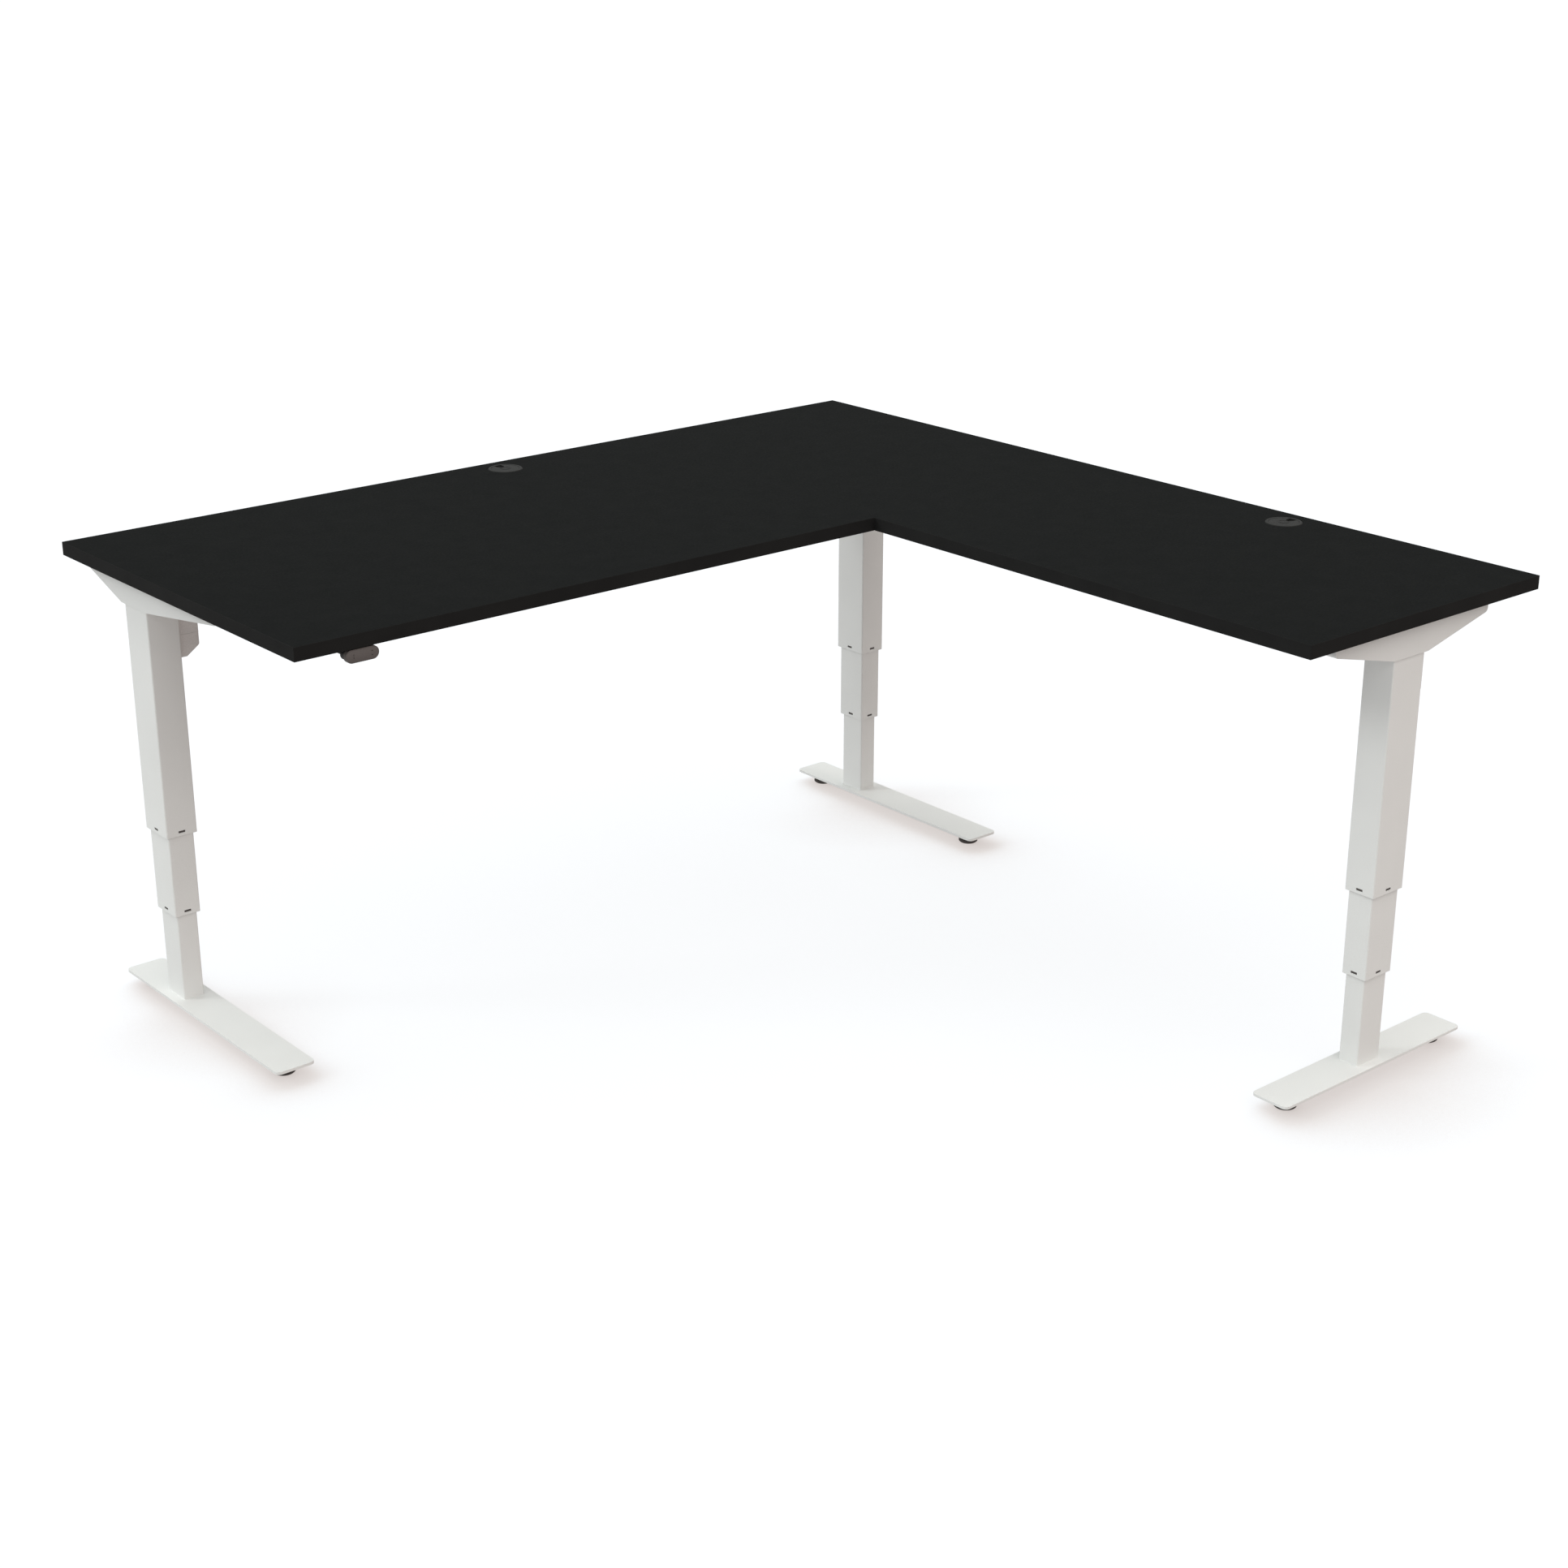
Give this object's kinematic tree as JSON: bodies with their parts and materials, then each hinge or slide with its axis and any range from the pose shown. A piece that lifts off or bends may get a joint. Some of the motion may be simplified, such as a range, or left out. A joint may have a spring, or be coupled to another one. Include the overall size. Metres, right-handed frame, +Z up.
{
  "type": "height adjustable standing desk",
  "caption": "L-shaped sit-stand desk with a dark laminate worktop on white telescopic columns with flat feet, cable grommets and an under-edge tilt handset.",
  "frame": {"origin": "on the floor below the centre of the square that bounds the worktop", "axes": "+X along the main worktop to the right as seen by the user, +Y towards the wall behind the main worktop, +Z up; the return runs towards -Y at the right end"},
  "size_m": [1.8, 1.8, 0.856],
  "materials": {
    "laminate": "matte black melamine faced board",
    "edge": "satin black edge banding",
    "grommet": "satin dark grey",
    "white_steel": "fine textured white powder coat",
    "cover_plastic": "satin white moulded plastic",
    "pad_plastic": "satin black",
    "glide_plastic": "ribbed satin black",
    "black_plastic": "fine spark texture",
    "handset_face": "satin warm dark grey",
    "circuit_board": "solder mask",
    "socket_plastic": "satin off-white",
    "steel": "zinc plated",
    "cast_metal": "as cast",
    "motor_metal": "black",
    "nut_metal": "machined"
  },
  "bodies": {
    "left_foot": {"left_low_tube": "white_steel", "left_foot": "white_steel", "left_nut": "nut_metal"},
    "left_mid": {"left_mid_tube": "white_steel", "left_mid_pads": "pad_plastic"},
    "desk_top": {"worktop": "laminate", "edge_band": "edge", "main_grommet_sleeve": "grommet", "return_grommet_sleeve": "grommet", "left_bracket": "white_steel", "corner_bracket": "white_steel", "return_bracket": "white_steel", "main_rails": "white_steel", "return_rails": "white_steel", "rail_joint_plate": "white_steel", "frame_bolts": "steel", "worktop_screws": "steel", "control_box": "black_plastic", "control_box_cover": "black_plastic", "control_board": "circuit_board", "control_sockets": "socket_plastic", "handset_housing": "black_plastic", "handset_pin": "steel", "gear_cases": "cast_metal", "upper_guide_pads": "pad_plastic", "left_top_tube": "white_steel", "left_motor_cover": "cover_plastic", "left_motor": "motor_metal", "corner_top_tube": "white_steel", "corner_motor_cover": "cover_plastic", "corner_motor": "motor_metal", "return_top_tube": "white_steel", "return_motor_cover": "cover_plastic", "return_motor": "motor_metal"},
    "corner_mid": {"corner_mid_tube": "white_steel", "corner_mid_pads": "pad_plastic"},
    "corner_foot": {"corner_low_tube": "white_steel", "corner_foot": "white_steel", "corner_nut": "nut_metal"},
    "return_mid": {"return_mid_tube": "white_steel", "return_mid_pads": "pad_plastic"},
    "return_foot": {"return_low_tube": "white_steel", "return_foot": "white_steel", "return_nut": "nut_metal"},
    "left_spindle": {"left_spindle": "steel"},
    "left_spindle_tube": {"left_spindle_tube": "steel"},
    "corner_spindle": {"corner_spindle": "steel"},
    "corner_spindle_tube": {"corner_spindle_tube": "steel"},
    "return_spindle": {"return_spindle": "steel"},
    "return_spindle_tube": {"return_spindle_tube": "steel"},
    "left_front_glide": {"left_front_glide": "glide_plastic"},
    "left_rear_glide": {"left_rear_glide": "glide_plastic"},
    "corner_front_glide": {"corner_front_glide": "glide_plastic"},
    "corner_rear_glide": {"corner_rear_glide": "glide_plastic"},
    "return_inner_glide": {"return_inner_glide": "glide_plastic"},
    "return_outer_glide": {"return_outer_glide": "glide_plastic"},
    "main_grommet_lid": {"main_grommet_lid": "grommet"},
    "return_grommet_lid": {"return_grommet_lid": "grommet"},
    "handset_paddle": {"handset_paddle": "handset_face"}
  },
  "joints": [
    {"name": "height", "type": "slide", "parent": "left_foot", "child": "left_mid", "axis": [0, 0, 1], "range_m": [-0.1175, 0.2075]},
    {"name": "left_upper_stage", "type": "slide", "parent": "left_mid", "child": "desk_top", "axis": [0, 0, 1], "range_m": [-0.1175, 0.2075]},
    {"name": "corner_upper_stage", "type": "slide", "parent": "desk_top", "child": "corner_mid", "axis": [0, 0, -1], "range_m": [-0.1175, 0.2075]},
    {"name": "corner_lower_stage", "type": "slide", "parent": "corner_mid", "child": "corner_foot", "axis": [0, 0, -1], "range_m": [-0.1175, 0.2075]},
    {"name": "return_upper_stage", "type": "slide", "parent": "desk_top", "child": "return_mid", "axis": [0, 0, -1], "range_m": [-0.1175, 0.2075]},
    {"name": "return_lower_stage", "type": "slide", "parent": "return_mid", "child": "return_foot", "axis": [0, 0, -1], "range_m": [-0.1175, 0.2075]},
    {"name": "left_spindle_turn", "type": "hinge", "parent": "desk_top", "child": "left_spindle", "pos_m": [-0.828, 0.722, 0.8], "axis": [0, 0, 1], "continuous": true},
    {"name": "left_spindle_tube_turn", "type": "hinge", "parent": "left_mid", "child": "left_spindle_tube", "pos_m": [-0.828, 0.722, 0.6], "axis": [0, 0, 1], "continuous": true},
    {"name": "corner_spindle_turn", "type": "hinge", "parent": "desk_top", "child": "corner_spindle", "pos_m": [0.828, 0.722, 0.8], "axis": [0, 0, 1], "continuous": true},
    {"name": "corner_spindle_tube_turn", "type": "hinge", "parent": "corner_mid", "child": "corner_spindle_tube", "pos_m": [0.828, 0.722, 0.6], "axis": [0, 0, 1], "continuous": true},
    {"name": "return_spindle_turn", "type": "hinge", "parent": "desk_top", "child": "return_spindle", "pos_m": [0.6, -0.838, 0.8], "axis": [0, 0, 1], "continuous": true},
    {"name": "return_spindle_tube_turn", "type": "hinge", "parent": "return_mid", "child": "return_spindle_tube", "pos_m": [0.6, -0.838, 0.6], "axis": [0, 0, 1], "continuous": true},
    {"name": "left_front_glide_level", "type": "slide", "parent": "left_foot", "child": "left_front_glide", "axis": [0, 0, -1], "range_m": [-0.0015, 0.005]},
    {"name": "left_rear_glide_level", "type": "slide", "parent": "left_foot", "child": "left_rear_glide", "axis": [0, 0, -1], "range_m": [-0.0015, 0.005]},
    {"name": "corner_front_glide_level", "type": "slide", "parent": "corner_foot", "child": "corner_front_glide", "axis": [0, 0, -1], "range_m": [-0.0015, 0.005]},
    {"name": "corner_rear_glide_level", "type": "slide", "parent": "corner_foot", "child": "corner_rear_glide", "axis": [0, 0, -1], "range_m": [-0.0015, 0.005]},
    {"name": "return_inner_glide_level", "type": "slide", "parent": "return_foot", "child": "return_inner_glide", "axis": [0, 0, -1], "range_m": [-0.0015, 0.005]},
    {"name": "return_outer_glide_level", "type": "slide", "parent": "return_foot", "child": "return_outer_glide", "axis": [0, 0, -1], "range_m": [-0.0015, 0.005]},
    {"name": "main_grommet_lid_turn", "type": "hinge", "parent": "desk_top", "child": "main_grommet_lid", "pos_m": [0, 0.843, 0.855], "axis": [0, 0, 1], "continuous": true},
    {"name": "return_grommet_lid_turn", "type": "hinge", "parent": "desk_top", "child": "return_grommet_lid", "pos_m": [0.843, -0.4, 0.855], "axis": [0, 0, 1], "continuous": true},
    {"name": "handset_tilt", "type": "hinge", "parent": "desk_top", "child": "handset_paddle", "pos_m": [-0.778, 0.117, 0.8182], "axis": [1, 0, 0], "range_deg": [-4, 4], "stiffness_Nm_per_rad": 0.6}
  ],
  "couplings": [
    {"joint": "left_upper_stage", "follows": "height", "ratio": 1},
    {"joint": "corner_upper_stage", "follows": "height", "ratio": 1},
    {"joint": "corner_lower_stage", "follows": "height", "ratio": 1},
    {"joint": "return_upper_stage", "follows": "height", "ratio": 1},
    {"joint": "return_lower_stage", "follows": "height", "ratio": 1},
    {"joint": "left_spindle_turn", "follows": "height", "rad_per_m": 785.4},
    {"joint": "left_spindle_tube_turn", "follows": "height", "rad_per_m": 392.7},
    {"joint": "corner_spindle_turn", "follows": "height", "rad_per_m": 785.4},
    {"joint": "corner_spindle_tube_turn", "follows": "height", "rad_per_m": 392.7},
    {"joint": "return_spindle_turn", "follows": "height", "rad_per_m": 785.4},
    {"joint": "return_spindle_tube_turn", "follows": "height", "rad_per_m": 392.7}
  ]
}
